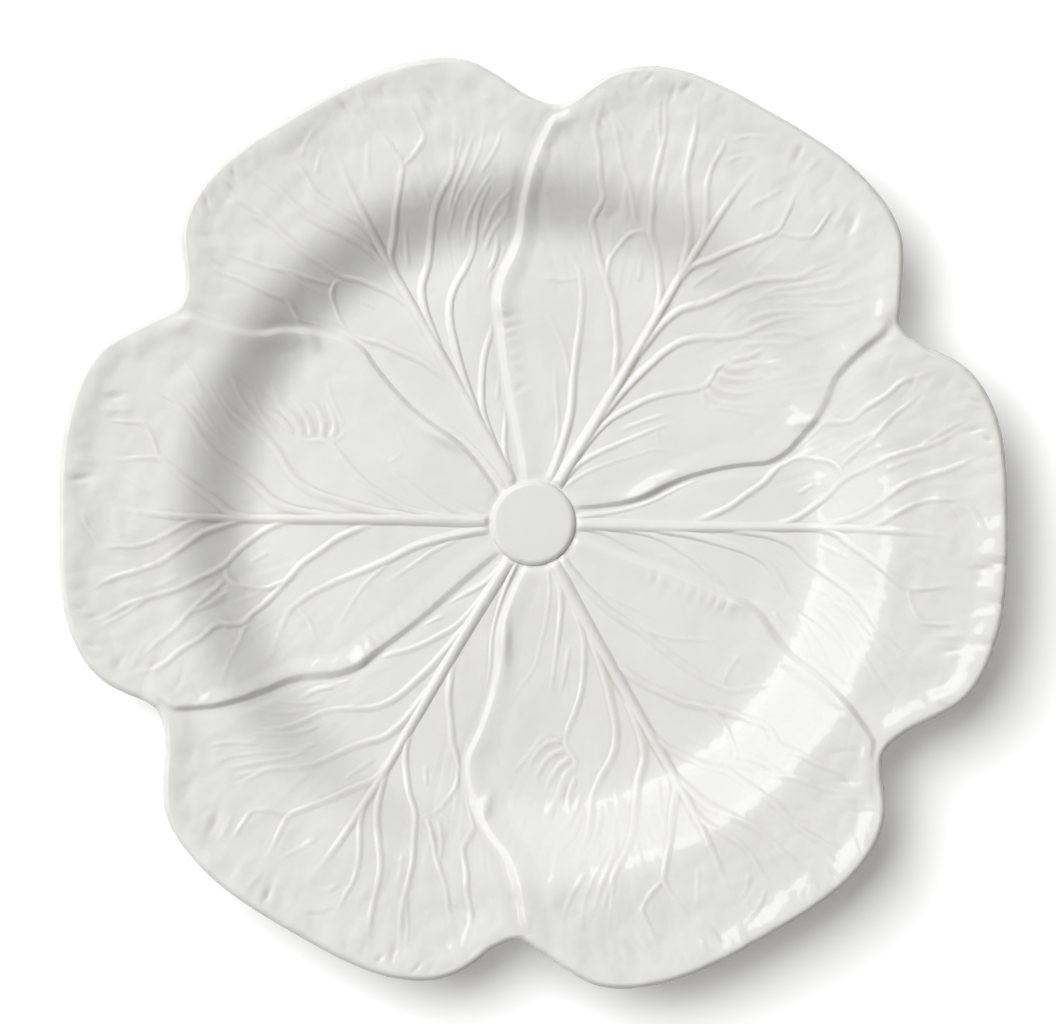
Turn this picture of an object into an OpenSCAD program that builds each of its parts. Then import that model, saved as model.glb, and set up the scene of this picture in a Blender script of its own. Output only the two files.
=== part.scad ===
// Cabbage-leaf dinner plate, in millimetres, standing on its foot ring with +Z up.
// Six moulded leaves lie round a centre boss. Three upper leaves overlap three lower ones,
// and every second leaf is an upper one. Each leaf is drawn with its midrib along +Y and the
// centre of the plate at the origin, then turned to its place.
// Places on a leaf are shares of the reach, which runs from the centre to a leaf tip.

/* [Plate] */
// Width across the tips of two opposite leaves
plate_w = 267; // [240:1:320]
// Height from the table to the leaf tips
plate_h = 27; // [25.5:0.5:34]
// Thickness of the clay across the floor of the well
body_t = 5; // [4:0.25:7]
// Thickness of the clay under the rim
rim_t = 4.2; // [3.5:0.1:6]

/* [Well and rim] */
// Radius at which the flat floor of the well ends
well_r = 75; // [70:1:80]
// Radius at which the wall of the well has become the rim
rim_r = 106; // [98:1:112]
// Height that the wall of the well climbs
wall_rise = 12.5; // [9:0.5:13.5]
// How far the underside of that wall lies outside its top
wall_shift = 2; // [1:0.5:5]
// Extra height of the curled edge all round the plate
edge_curl = 2; // [1:0.25:3]

/* [Foot] */
// Outer radius of the foot ring
foot_r = 77.5; // [70:0.5:81]
// Width of the foot ring where it joins the body
foot_w = 5.5; // [4:0.5:8]
// Height of the foot ring
foot_h = 5; // [4.5:0.25:7]
// Radius that rounds the two lower corners of the foot ring
foot_round = 1.5; // [0.5:0.25:1.75]
// Flat underside left free outside the foot ring
foot_set = 1.5; // [0.5:0.25:3]

/* [Boss] */
// Radius of the boss in the middle of the well
boss_r = 11.7; // [10:0.1:13]
// Height of the boss above the floor of the well
boss_h = 1.8; // [1:0.1:3]
// Radius that rounds the top corner of the boss
boss_round = 1.3; // [0.5:0.1:1.6]

/* [Leaf relief] */
// Height of a leaf edge that overlaps its neighbour
lip_h = 1.7; // [1:0.1:2.5]
// Distance from that edge in to the crest of its lip
lip_w = 2.6; // [1.5:0.1:4]
// Height of the midrib where it leaves the boss
midrib_h = 1.3; // [0.8:0.1:2]
// Width of the midrib where it leaves the boss
midrib_w = 5; // [3.5:0.25:7]
// Height of a side vein where it leaves the midrib
vein_h = 0.8; // [0.4:0.1:1.4]

/* [Hidden] */
reach = plate_w / 2;
floor_z = foot_h + body_t;
rim_lift = plate_h - edge_curl - floor_z - wall_rise;
lift_r = (well_r + rim_r) / 2;
under_r = foot_r + foot_set;
under_rim_r = rim_r + wall_shift;
// Power of the curve by which the rim lifts towards its edge
lift_power = 1.4;

// Slit between the boss and the inner ends of the leaves
hub_gap = 0.1;
hub_r = boss_r + hub_gap;

// Directions in which the leaves point
upper_angles = [60, 180, 300];
lower_angles = [120, 240, 0];
leaf_pitch = 60;

// Seam on the left of an upper leaf, from the boss to the notch in the rim
left_seam_shares = [
    [-0.108, 0.112], [-0.150, 0.160], [-0.195, 0.212], [-0.240, 0.268], [-0.283, 0.325],
    [-0.318, 0.372], [-0.333, 0.415], [-0.337, 0.465], [-0.346, 0.515], [-0.364, 0.560],
    [-0.380, 0.610], [-0.394, 0.665], [-0.399, 0.720], [-0.398, 0.765], [-0.392, 0.795]];
// Seam on the right of an upper leaf, from the boss to the notch in the rim
right_seam_shares = [
    [0.118, 0.100], [0.152, 0.128], [0.185, 0.163], [0.212, 0.203], [0.243, 0.243],
    [0.285, 0.285], [0.333, 0.325], [0.377, 0.357], [0.400, 0.395], [0.412, 0.440],
    [0.420, 0.490], [0.419, 0.540], [0.412, 0.575], [0.418, 0.620], [0.434, 0.670],
    [0.450, 0.715], [0.460, 0.750]];
// Directions in which the two seams meet the boss
left_seam_angle = 137.5;
right_seam_angle = 45;

// Outline of the rim between those two notches, the same on every leaf
outline_shares = [
    [-0.374, 0.822], [-0.359, 0.858], [-0.338, 0.898], [-0.305, 0.934], [-0.260, 0.962],
    [-0.200, 0.984], [-0.110, 0.997], [0.000, 1.000], [0.055, 1.000], [0.110, 0.998],
    [0.200, 0.988], [0.270, 0.969], [0.330, 0.942], [0.374, 0.907], [0.400, 0.868],
    [0.421, 0.826], [0.440, 0.788]];
tip_place = 8;

// Crest of the midrib, from the boss towards the tip
midrib_shares = [
    [0.004, 0.088], [0.008, 0.200], [0.010, 0.320], [0.010, 0.440], [0.010, 0.560],
    [0.011, 0.650], [0.015, 0.730], [0.021, 0.800], [0.031, 0.870], [0.045, 0.930],
    [0.055, 1.000]];
// Share of its width that the midrib keeps at the tip, and the same for its height
midrib_w_share = 0.3;
midrib_h_share = 0.2;
// Share of its height that the midrib has at the boss, and share of its length to reach the rest
midrib_start_share = 0.4;
midrib_full_share = 0.05;

// Rows that follow the side veins. Each holds the share of the midrib at which it starts, the
// share of the leaf's margin at which it ends, the number of rows up to the next, the share of
// the full vein's height that stands on it, and the places that it passes. A lower leaf shows
// only what its neighbours leave bare, and its first row has no places and follows the seam.
upper_left_shares = [
    [0.04, 0.085, 7, 0, [[-0.050, 0.125]]],
    [0.12, 0.475, 6, 1, [[-0.030, 0.190], [-0.052, 0.250], [-0.079, 0.310], [-0.108, 0.368],
        [-0.138, 0.425], [-0.170, 0.478], [-0.212, 0.519], [-0.270, 0.552]]],
    [0.33, 0.710, 4, 1, [[-0.034, 0.417], [-0.088, 0.492], [-0.160, 0.558], [-0.205, 0.605],
        [-0.215, 0.655], [-0.245, 0.705], [-0.285, 0.760], [-0.307, 0.815]]],
    [0.50, 0.812, 3, 1, [[-0.034, 0.595], [-0.088, 0.650], [-0.113, 0.698], [-0.137, 0.745],
        [-0.154, 0.800], [-0.167, 0.848], [-0.190, 0.895]]],
    [0.60, 0.858, 3, 1, [[-0.022, 0.698], [-0.055, 0.745], [-0.086, 0.792], [-0.100, 0.833],
        [-0.115, 0.881], [-0.130, 0.915]]],
    [0.69, 0.922, 4, 1, [[-0.020, 0.765], [-0.038, 0.800], [-0.050, 0.845], [-0.050, 0.900]]],
    [0.90, 0.965, 0, 0, [[0.020, 0.930]]]];
upper_right_shares = [
    [0.04, 0.085, 6, 0, [[0.055, 0.125]]],
    [0.08, 0.395, 5, 0.7, [[0.040, 0.185], [0.088, 0.254], [0.123, 0.300], [0.165, 0.340],
        [0.245, 0.378]]],
    [0.20, 0.510, 4, 1, [[0.040, 0.290], [0.088, 0.356], [0.135, 0.400], [0.174, 0.440],
        [0.205, 0.500], [0.259, 0.540], [0.330, 0.565]]],
    [0.30, 0.580, 5, 1, [[0.042, 0.395], [0.067, 0.465], [0.105, 0.512], [0.160, 0.548],
        [0.208, 0.600], [0.260, 0.650], [0.340, 0.685]]],
    [0.43, 0.765, 6, 1, [[0.035, 0.530], [0.082, 0.585], [0.130, 0.648], [0.184, 0.700],
        [0.230, 0.735], [0.262, 0.782], [0.300, 0.840]]],
    [0.60, 0.943, 4, 1, [[0.048, 0.670], [0.082, 0.717], [0.116, 0.758], [0.136, 0.800],
        [0.135, 0.867], [0.134, 0.910]]],
    [0.90, 0.975, 0, 0, [[0.070, 0.930]]]];
lower_left_shares = [
    [0.05, 0.625, 6, 0, []],
    [0.33, 0.690, 4, 1, [[-0.034, 0.417], [-0.078, 0.485], [-0.108, 0.548], [-0.148, 0.606],
        [-0.193, 0.652], [-0.238, 0.697], [-0.285, 0.760], [-0.310, 0.815]]],
    [0.50, 0.812, 3, 1, [[-0.034, 0.595], [-0.088, 0.650], [-0.113, 0.698], [-0.137, 0.745],
        [-0.154, 0.800], [-0.167, 0.848], [-0.190, 0.895]]],
    [0.60, 0.858, 3, 1, [[-0.022, 0.698], [-0.055, 0.745], [-0.086, 0.792], [-0.100, 0.833],
        [-0.115, 0.881], [-0.130, 0.915]]],
    [0.69, 0.922, 4, 1, [[-0.020, 0.765], [-0.038, 0.800], [-0.050, 0.845], [-0.050, 0.900]]],
    [0.90, 0.965, 0, 0, [[0.020, 0.930]]]];
lower_right_shares = [
    [0.05, 0.672, 5, 0, []],
    [0.33, 0.712, 5, 1, [[0.042, 0.395], [0.067, 0.465], [0.105, 0.512], [0.160, 0.548],
        [0.208, 0.600], [0.260, 0.650], [0.330, 0.702], [0.375, 0.745]]],
    [0.43, 0.768, 5, 1, [[0.035, 0.530], [0.082, 0.585], [0.130, 0.648], [0.184, 0.700],
        [0.230, 0.735], [0.262, 0.782], [0.300, 0.840]]],
    [0.60, 0.943, 4, 1, [[0.048, 0.670], [0.082, 0.717], [0.116, 0.758], [0.136, 0.800],
        [0.135, 0.867], [0.134, 0.910]]],
    [0.90, 0.975, 0, 0, [[0.070, 0.930]]]];
// Share of the gap between two veins that a vein's foot takes
vein_foot_share = 0.15;
// Share of its height that a side vein keeps at its far end
vein_end_share = 0.35;
// Share of the lip's height at the seam itself, and in the valley inside the lip
lip_edge_share = 0.55;
valley_share = 0.1;
// Distance from the margin to that valley, in widths of the lip
valley_reach = 2.6;
// Distance from a seam in to the first row of a lower leaf, as a share of the lip's width
tuck_share = 0.6;
// Share of the margin that this row leaves out at each end of the seam
follow_share = 0.04;
// Power that spaces its points more closely towards the rim
follow_power = 0.65;
// Share of the edge's curl at the crest line
curl_crest_share = 0.45;
// Share of the margin over which a lip fades out past its notch
fade_share = 0.03;
// Share of the margin to each side of a place by which its direction is measured
probe_share = 0.01;

// Steps along a seam, degrees to a step round the hub, and steps between two outline places
seam_n = 22;
hub_step = 9.5;
curve_n = 2;
// Steps along a row of an upper and of a lower leaf, along a row that follows a seam, and along
// the midrib
upper_cols = 7;
lower_cols = 13;
follow_n = 14;
midrib_n = 18;
// Steps across the underside, and its rows as shares of the way to the foot and up the wall
under_cols = 7;
under_row_shares = [0.12, 0.35, 0.7, 1];
under_wall_shares = [0.34, 0.67, 1];
$fn = 180;

// Easing from 0 to 1, and a steeper one for the wall of the well
function smooth(t) = let (u = min(max(t, 0), 1)) u * u * (3 - 2 * u);
function climb(t) = let (u = min(max(t, 0), 1)) u * u * u * (10 - 15 * u + 6 * u * u);
function mix(a, b, t) = a + (b - a) * t;
function turned(p, a) = [p.x * cos(a) - p.y * sin(a), p.x * sin(a) + p.y * cos(a)];
function on_circle(r, a) = [r * cos(a), r * sin(a)];
function last(list) = list[len(list) - 1];

// Height of the rim's lift, the top and the underside of the body at radius r
function lift(r) = rim_lift * pow(max(0, (r - lift_r) / (reach - lift_r)), lift_power);
function top_z(r) = floor_z + wall_rise * climb((r - well_r) / (rim_r - well_r)) + lift(r);
function under_z(r) = foot_h + lift(r)
    + (body_t + wall_rise - rim_t) * climb((r - under_r) / (under_rim_r - under_r));

// Smooth curve through a list of points
function bend(a, b, c, d, t) = (b * 2 + (c - a) * t + (a * 2 - b * 5 + c * 4 - d) * t * t
    + (b * 3 - a - c * 3 + d) * t * t * t) / 2;
function curve(p) = [
    for (i = [0:len(p) - 2], k = [0:curve_n - 1])
        bend(p[max(i - 1, 0)], p[i], p[i + 1], p[min(i + 2, len(p) - 1)], k / curve_n),
    last(p)];

// Running length of a path, and the point at a share of that length
function runs(p) = [for (i = 0, s = 0; i < len(p);
    s = s + (i + 1 < len(p) ? norm(p[i + 1] - p[i]) : 0), i = i + 1) s];
function along(p, share) = let (s = runs(p), at = share * last(s)) [
    lookup(at, [for (i = [0:len(p) - 1]) [s[i], p[i].x]]),
    lookup(at, [for (i = [0:len(p) - 1]) [s[i], p[i].y]])];

// One seam as points from the hub to its notch, at even steps of radius
function seam(shares, start_angle) = let (
    places = concat([[hub_r, start_angle]],
        [for (s = shares) [norm(s) * reach, atan2(s.y, s.x)]]))
    [for (i = [0:seam_n]) let (r = mix(hub_r, last(places)[0], i / seam_n))
        on_circle(r, lookup(r, places))];
left_of_upper = seam(left_seam_shares, left_seam_angle);
right_of_upper = seam(right_seam_shares, right_seam_angle);

// A leaf's own two seams: an upper leaf's as drawn, a lower leaf's those of its neighbours
function left_seam(upper) = upper ? left_of_upper
    : [for (p = right_of_upper) turned(p, leaf_pitch)];
function right_seam(upper) = upper ? right_of_upper
    : [for (p = left_of_upper) turned(p, -leaf_pitch)];

// Points round the hub from the midrib to the inner end of a seam
function hub_arc(seam_line) = let (
    angle = atan2(seam_line[0].y, seam_line[0].x), n = ceil(abs(angle - 90) / hub_step))
    [for (i = [0:n - 1]) on_circle(hub_r, mix(90, angle, i / n))];

// The left and right halves of a leaf's margin, each from the midrib at the hub to the tip
function rim_curve(upper) = curve(concat([last(left_seam(upper))],
    [for (s = outline_shares) s * reach], [last(right_seam(upper))]));
tip_index = (tip_place + 1) * curve_n;
function left_margin(upper) = let (rim = rim_curve(upper)) concat(
    hub_arc(left_seam(upper)), left_seam(upper), [for (i = [1:tip_index]) rim[i]]);
function right_margin(upper) = let (rim = rim_curve(upper)) concat(
    hub_arc(right_seam(upper)), right_seam(upper),
    [for (i = [len(rim) - 2:-1:tip_index]) rim[i]]);

// Share of a margin at which its seam ends and the rim begins
function notch_share(margin, seam_line) = let (s = runs(margin),
    n = len(hub_arc(seam_line)) + len(seam_line) - 1) s[n] / last(s);
// How much a place on the margin belongs to the seam rather than to the rim
function seamness(share, notch) = smooth((notch + fade_share - share) / (2 * fade_share));

// Point at a distance inside the margin, on its left half (side = -1) or right half (side = 1)
function inside(margin, share, depth, side) = let (
    t = along(margin, min(share + probe_share, 1)) - along(margin, max(share - probe_share, 0)),
    n = [-side * t.y, side * t.x] / norm(t))
    along(margin, share) + n * depth;

// The midrib: its crest line, and its half width at a share of its length
midrib = curve([for (s = midrib_shares) s * reach]);
function midrib_half(share) = midrib_w / 2 * mix(1, midrib_w_share, share);
function midrib_rise(share) = midrib_h * mix(1, midrib_h_share, share)
    * smooth(mix(midrib_start_share, 1, share / midrib_full_share));

// One row of places from the foot of the midrib to the valley inside the margin
function crest_depth(upper, seam_part) = lip_w * mix(1, upper ? 1 : tuck_share, seam_part);
function cols(upper) = upper ? upper_cols : lower_cols;
function row_line(vein, margin, side, upper, notch) = let (
    n = cols(upper),
    foot = along(midrib, vein[0]) + [side * midrib_half(vein[0]), 0],
    depth = crest_depth(upper, seamness(vein[1], notch)) * valley_reach,
    end = inside(margin, vein[1], depth, side),
    seam_line = [for (k = [1:follow_n - 1]) inside(margin,
        mix(follow_share, notch - follow_share, k / follow_n), crest_depth(upper, 1), side)],
    path = concat([foot], len(vein[4]) > 0 ? [for (s = vein[4]) s * reach] : seam_line, [end]))
    [for (c = [0:n - 1]) along(path, pow(c / (n - 1), len(vein[4]) > 0 ? 1 : follow_power))];

// Relief at a column: c runs from the midrib's foot to the valley, and n is the lip's crest
function lip_relief(c, n, upper, seam_part) = !upper ? 0
    : lip_h * seam_part * (c == n ? 1 : c == n - 1 ? valley_share : 0);
function curl_relief(c, n, seam_part) = c == n ? edge_curl * curl_crest_share * (1 - seam_part)
    : 0;
function vein_relief(c, n, share) = vein_h * share * mix(1, vein_end_share, c / n);
function steps(n) = [for (i = [0:n - 1]) i == 0 ? 0
    : mix(vein_foot_share, 1 - vein_foot_share, (i - 1) / (n - 2))];

// Rows of one half of a leaf, each with its points from the midrib to the lip's crest
function half_rows(veins, margin, seam_line, side, upper) = let (
    n = cols(upper), notch = notch_share(margin, seam_line),
    lines = [for (v = veins) row_line(v, margin, side, upper, notch)])
    [for (k = [0:len(veins) - 1], t = k < len(veins) - 1 ? steps(veins[k][2]) : [0]) let (
        k2 = min(k + 1, len(veins) - 1),
        m = mix(veins[k][0], veins[k2][0], t), e = mix(veins[k][1], veins[k2][1], t),
        vein_share = t == 0 ? veins[k][3] : 0,
        seam_part = seamness(e, notch),
        depth = crest_depth(upper, seam_part),
        foot = along(midrib, m) + [side * midrib_half(m), 0],
        end = inside(margin, e, depth * valley_reach, side),
        foot_off = foot - mix(lines[k][0], lines[k2][0], t),
        end_off = end - mix(last(lines[k]), last(lines[k2]), t))
        [for (c = [0:n]) let (
            s = c / (n - 1),
            p = c == n ? inside(margin, e, depth, side)
                : mix(lines[k][c], lines[k2][c], t)
                    + foot_off * (1 - s) * (1 - s) + end_off * s * s)
            [p.x, p.y, top_z(norm(p)) + lip_relief(c, n, upper, seam_part)
                + curl_relief(c, n, seam_part) + vein_relief(c, n, vein_share)]]];

// Top and bottom height of a point of the margin
function margin_top(p, share, notch, upper) = top_z(norm(p)) + mix(edge_curl,
    upper ? lip_h * lip_edge_share * smooth((norm(p) - hub_r) / lip_w) : 0,
    seamness(share, notch));
function margin_under(p, share, notch) = under_z(norm(p))
    + edge_curl * (1 - seamness(share, notch));
function margin_points(margin, seam_line, upper) = let (
    s = runs(margin), notch = notch_share(margin, seam_line))
    [for (i = [0:len(margin) - 1]) let (p = margin[i], share = s[i] / last(s))
        [p.x, p.y, margin_top(p, share, notch, upper), margin_under(p, share, notch)]];

// Strip of triangles between two rows of points, given by their numbers in the list
function nearer(points, a, b, i, j) = j >= len(b) - 1 ? true : i >= len(a) - 1 ? false
    : norm(points[a[i + 1]] - points[b[j]]) <= norm(points[a[i]] - points[b[j + 1]]);
function strip(points, a, b) = [for (i = 0, j = 0, first = nearer(points, a, b, 0, 0);
    i < len(a) - 1 || j < len(b) - 1;
    i = i + (first ? 1 : 0), j = j + (first ? 0 : 1), first = nearer(points, a, b, i, j))
    first ? [a[i], a[i + 1], b[j]] : [a[i], b[j + 1], b[j]]];
// Triangles of a grid whose first point has the number at, each cell cut on its short diagonal
function cell(points, a, b, c, d) = norm(points[a] - points[c]) <= norm(points[b] - points[d])
    ? [[a, b, c], [a, c, d]] : [[a, b, d], [b, c, d]];
function sheet(points, at, rows, width) = [
    for (k = [0:rows - 2], c = [0:width - 2]) let (a = at + k * width + c)
        each cell(points, a, a + 1, a + width + 1, a + width)];
function flipped(faces) = [for (f = faces) [f[2], f[1], f[0]]];

// Underside rows at even radii, from the right seam to the left seam
function seam_angle(seam_line, r) = lookup(r, [for (p = seam_line) [norm(p), atan2(p.y, p.x)]]);
under_rows = concat([for (s = under_row_shares) mix(hub_r, under_r, s)],
    [for (s = under_wall_shares) mix(under_r, under_rim_r, s)]);
function under_points(upper) = [for (r = under_rows) let (
    a = seam_angle(right_seam(upper), r), b = seam_angle(left_seam(upper), r))
    each [for (c = [0:under_cols]) let (
        p = on_circle(r, mix(a, b, (c + 0.5) / (under_cols + 1)))) [p.x, p.y, under_z(r)]]];

// Edge of a grid as a closed loop of numbers: along its first row, up its last column, back
function rim_of(at, rows, width) = concat(
    [for (c = [0:width - 1]) at + c],
    [for (k = [1:rows - 1]) at + k * width + width - 1],
    [for (c = [width - 2:-1:0]) at + (rows - 1) * width + c],
    [for (k = [rows - 2:-1:0]) at + k * width]);
// Edge of one half's grid as an open path: first row, last column and last row
function half_rim(at, rows, width) = concat(
    [for (c = [0:width - 1]) at + c],
    [for (k = [1:rows - 1]) at + k * width + width - 1],
    [for (c = [width - 2:-1:0]) at + (rows - 1) * width + c]);
function inner_column(at, rows, width) = [for (k = [0:rows - 1]) at + k * width];

// One leaf as a closed solid
module leaf(upper) {
    left = margin_points(left_margin(upper), left_seam(upper), upper);
    right = margin_points(right_margin(upper), right_seam(upper), upper);
    loop = concat(left, [for (i = [len(right) - 2:-1:1]) right[i]]);
    count = len(loop);
    crest = [for (i = [1:midrib_n - 1]) let (
        share = i / midrib_n, p = along(midrib, share))
        [p.x, p.y, top_z(norm(p)) + midrib_rise(share)]];
    left_rows = half_rows(upper ? upper_left_shares : lower_left_shares,
        left_margin(upper), left_seam(upper), -1, upper);
    right_rows = half_rows(upper ? upper_right_shares : lower_right_shares,
        right_margin(upper), right_seam(upper), 1, upper);
    under = under_points(upper);
    width = cols(upper) + 1;
    at_crest = 2 * count;
    at_left = at_crest + len(crest);
    at_right = at_left + len(left_rows) * width;
    at_under = at_right + len(right_rows) * width;
    points = concat([for (p = loop) [p.x, p.y, p.z]], [for (p = loop) [p.x, p.y, p[3]]],
        crest, [for (row = left_rows) each row], [for (row = right_rows) each row], under);
    tip = len(left) - 1;
    left_path = [for (i = [0:tip]) i];
    right_path = concat([0], [for (i = [count - 1:-1:tip]) i]);
    crest_path = concat([0], [for (i = [0:len(crest) - 1]) at_crest + i], [tip]);
    left_foot = inner_column(at_left, len(left_rows), width);
    right_foot = inner_column(at_right, len(right_rows), width);
    bottom_loop = [for (i = [0:count]) count + i % count];
    under_loop = rim_of(at_under, len(under_rows), under_cols + 1);
    under_start = count - len(hub_arc(right_seam(upper)));
    under_path = [for (i = [0:count]) count + (under_start + i) % count];
    faces = concat(
        sheet(points, at_left, len(left_rows), width),
        flipped(sheet(points, at_right, len(right_rows), width)),
        flipped(strip(points, half_rim(at_left, len(left_rows), width), left_path)),
        strip(points, half_rim(at_right, len(right_rows), width), right_path),
        strip(points, left_foot, crest_path),
        flipped(strip(points, right_foot, crest_path)),
        [for (i = [0:count - 1]) each [
            [i, count + (i + 1) % count, (i + 1) % count],
            [i, count + i, count + (i + 1) % count]]],
        flipped(sheet(points, at_under, len(under_rows), under_cols + 1)),
        strip(points, under_loop, under_path));
    polyhedron(points = points, faces = faces, convexity = 6);
}

module upper_leaf(i) {
    color("#EFEDE6") rotate([0, 0, upper_angles[i] - 90]) leaf(true);
}

module lower_leaf(i) {
    color("#ECEAE2") rotate([0, 0, lower_angles[i] - 90]) leaf(false);
}

// Round boss in the middle of the well, through the whole thickness of the body
module centre_boss() {
    top = floor_z + boss_h;
    color("#F1EFE9") rotate_extrude() {
        translate([0, foot_h]) square([boss_r, top - foot_h - boss_round]);
        translate([0, foot_h]) square([boss_r - boss_round, top - foot_h]);
        translate([boss_r - boss_round, top - boss_round]) intersection() {
            circle(r = boss_round);
            square(boss_round);
        }
    }
}

// Foot ring under the well, with rounded lower corners
module foot_ring() {
    color("#E4DFD4") rotate_extrude() translate([foot_r - foot_w, 0]) {
        translate([0, foot_round]) square([foot_w, foot_h - foot_round]);
        translate([foot_round, 0]) square([foot_w - 2 * foot_round, foot_round]);
        for (x = [foot_round, foot_w - foot_round]) translate([x, foot_round]) intersection() {
            circle(r = foot_round);
            translate([x == foot_round ? -foot_round : 0, -foot_round]) square(foot_round);
        }
    }
}

upper_leaf(0);  // upper_leaf_1
upper_leaf(1);  // upper_leaf_2
upper_leaf(2);  // upper_leaf_3
lower_leaf(0);  // lower_leaf_1
lower_leaf(1);  // lower_leaf_2
lower_leaf(2);  // lower_leaf_3
centre_boss();
foot_ring();
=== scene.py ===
# %% [markdown]
# # A dinner plate of cabbage leaves
# The plate is one body of fired white clay under a clear glossy glaze. Its top is moulded as six
# leaves round a small boss: three upper leaves lie over three lower ones. The CAD model gives the
# solids and their sizes. Here each leaf gets its real relief, and everything gets its finish.
#
# Such a relief could be sculpted by hand, or painted as a height image. Here it is worked out from
# named lines and sizes, so each rib and lip can be moved by changing a few numbers, and the same
# code makes all six leaves.

import bmesh
import bpy
import numpy as np
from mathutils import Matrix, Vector


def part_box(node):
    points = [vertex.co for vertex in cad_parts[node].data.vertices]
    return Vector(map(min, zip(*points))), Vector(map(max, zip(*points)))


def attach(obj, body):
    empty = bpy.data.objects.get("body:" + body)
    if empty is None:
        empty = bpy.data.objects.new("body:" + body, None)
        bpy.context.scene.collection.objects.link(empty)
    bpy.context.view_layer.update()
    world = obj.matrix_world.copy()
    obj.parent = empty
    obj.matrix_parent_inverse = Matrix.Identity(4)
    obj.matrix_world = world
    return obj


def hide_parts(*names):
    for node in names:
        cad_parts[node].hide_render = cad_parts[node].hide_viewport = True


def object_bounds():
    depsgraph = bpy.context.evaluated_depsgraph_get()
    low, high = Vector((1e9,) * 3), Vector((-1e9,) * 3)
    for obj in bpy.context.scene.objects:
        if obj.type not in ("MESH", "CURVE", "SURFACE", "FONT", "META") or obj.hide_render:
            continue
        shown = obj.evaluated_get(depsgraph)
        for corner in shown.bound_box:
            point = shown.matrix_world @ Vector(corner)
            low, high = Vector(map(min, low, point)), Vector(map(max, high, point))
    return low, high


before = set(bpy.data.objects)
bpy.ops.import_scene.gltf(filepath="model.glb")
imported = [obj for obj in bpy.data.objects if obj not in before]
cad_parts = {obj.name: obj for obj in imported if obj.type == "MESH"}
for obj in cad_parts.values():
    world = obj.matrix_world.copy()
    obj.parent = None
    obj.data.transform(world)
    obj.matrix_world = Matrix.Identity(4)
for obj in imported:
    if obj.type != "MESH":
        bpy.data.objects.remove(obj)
cad_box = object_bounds()
print("CAD box in mm:", [[round(c * 1000, 1) for c in corner] for corner in cad_box])

# %% [markdown]
# Blender works in metres, so every size is written in millimetres and multiplied by MM. The sizes
# that the CAD model can tell are measured on it. The others are the same values as in the part's
# source. So the dressed leaves lie where the solids lie.

# %% Sizes of the plate
MM = 0.001
reach = cad_box[1][0]
boss_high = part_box("centre_boss")[1]
foot_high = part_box("foot_ring")[1]
boss_r = boss_high.x
foot_r = foot_high.x
foot_h = foot_high.z
body_t = 5 * MM
rim_t = 4.2 * MM
floor_z = foot_h + body_t
well_r = 75 * MM
rim_r = 106 * MM
wall_rise = 12.5 * MM
rim_lift = 2.5 * MM
lift_r = (well_r + rim_r) / 2
lift_power = 1.4
under_r = foot_r + 1.5 * MM
under_rim_r = rim_r + 2 * MM
edge_curl = 2 * MM
print("reach", round(reach / MM, 2), "boss radius", round(boss_r / MM, 2), "foot radius",
      round(foot_r / MM, 2))

# %% [markdown]
# The profile of the plate is a flat floor, a wall that climbs in a soft S, and a rim that rises
# gently to the edge. A spun profile could make it too, but the leaves need its height at any
# place, so it is a function of the radius. Numpy works it out for thousands of points at once.

# %% Profile of the plate
def ease(t):
    """A soft step from 0 to 1."""
    t = np.clip(t, 0, 1)
    return t * t * (3 - 2 * t)


def climb(t):
    """A softer step, whose bends are even too, for the wall."""
    t = np.clip(t, 0, 1)
    return t ** 3 * (10 - 15 * t + 6 * t * t)


def lift(r):
    """How far the rim rises beyond the wall."""
    return rim_lift * np.maximum(0, (r - lift_r) / (reach - lift_r)) ** lift_power


def top_z(r):
    return floor_z + wall_rise * climb((r - well_r) / (rim_r - well_r)) + lift(r)


def under_z(r):
    rise = body_t + wall_rise - rim_t
    return foot_h + lift(r) + rise * climb((r - under_r) / (under_rim_r - under_r))


print("top of the rim at", round(float(top_z(reach)) / MM, 2), "mm before the curl")

# %% [markdown]
# Helpers for lines: a smooth line through a few places, the way run along it, and points at even
# shares of it. A Bezier curve object would do the same, but here the points are needed as numbers.

# %% Helpers for lines
def smooth_line(places, steps=8):
    """A smooth line through places, with even bends where they lie unevenly."""
    p = np.array(places, float)
    h = np.maximum(np.linalg.norm(np.diff(p, axis=0), axis=1), 1e-9)
    slope = np.diff(p, axis=0) / h[:, None]
    m = np.empty_like(p)
    m[0], m[-1] = slope[0], slope[-1]
    m[1:-1] = (slope[1:] * h[:-1, None] + slope[:-1] * h[1:, None]) / (h[1:] + h[:-1])[:, None]
    t = np.linspace(0, 1, steps, endpoint=False)[None, :, None]
    a, b, hh = p[:-1, None], p[1:, None], h[:, None, None]
    curve = ((2 * t ** 3 - 3 * t ** 2 + 1) * a + (t ** 3 - 2 * t ** 2 + t) * hh * m[:-1, None]
             + (3 * t ** 2 - 2 * t ** 3) * b + (t ** 3 - t ** 2) * hh * m[1:, None])
    return np.vstack([curve.reshape(-1, p.shape[1]), p[-1]])


def runs(line):
    """The way run along a line up to each of its points."""
    return np.concatenate([[0], np.cumsum(np.linalg.norm(np.diff(line, axis=0), axis=1))])


def along(line, shares):
    """Points of a line at shares of its length."""
    s = runs(line[:, :2])
    at = np.asarray(shares) * s[-1]
    return np.stack([np.interp(at, s, line[:, k]) for k in range(line.shape[1])], axis=-1)


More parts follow.
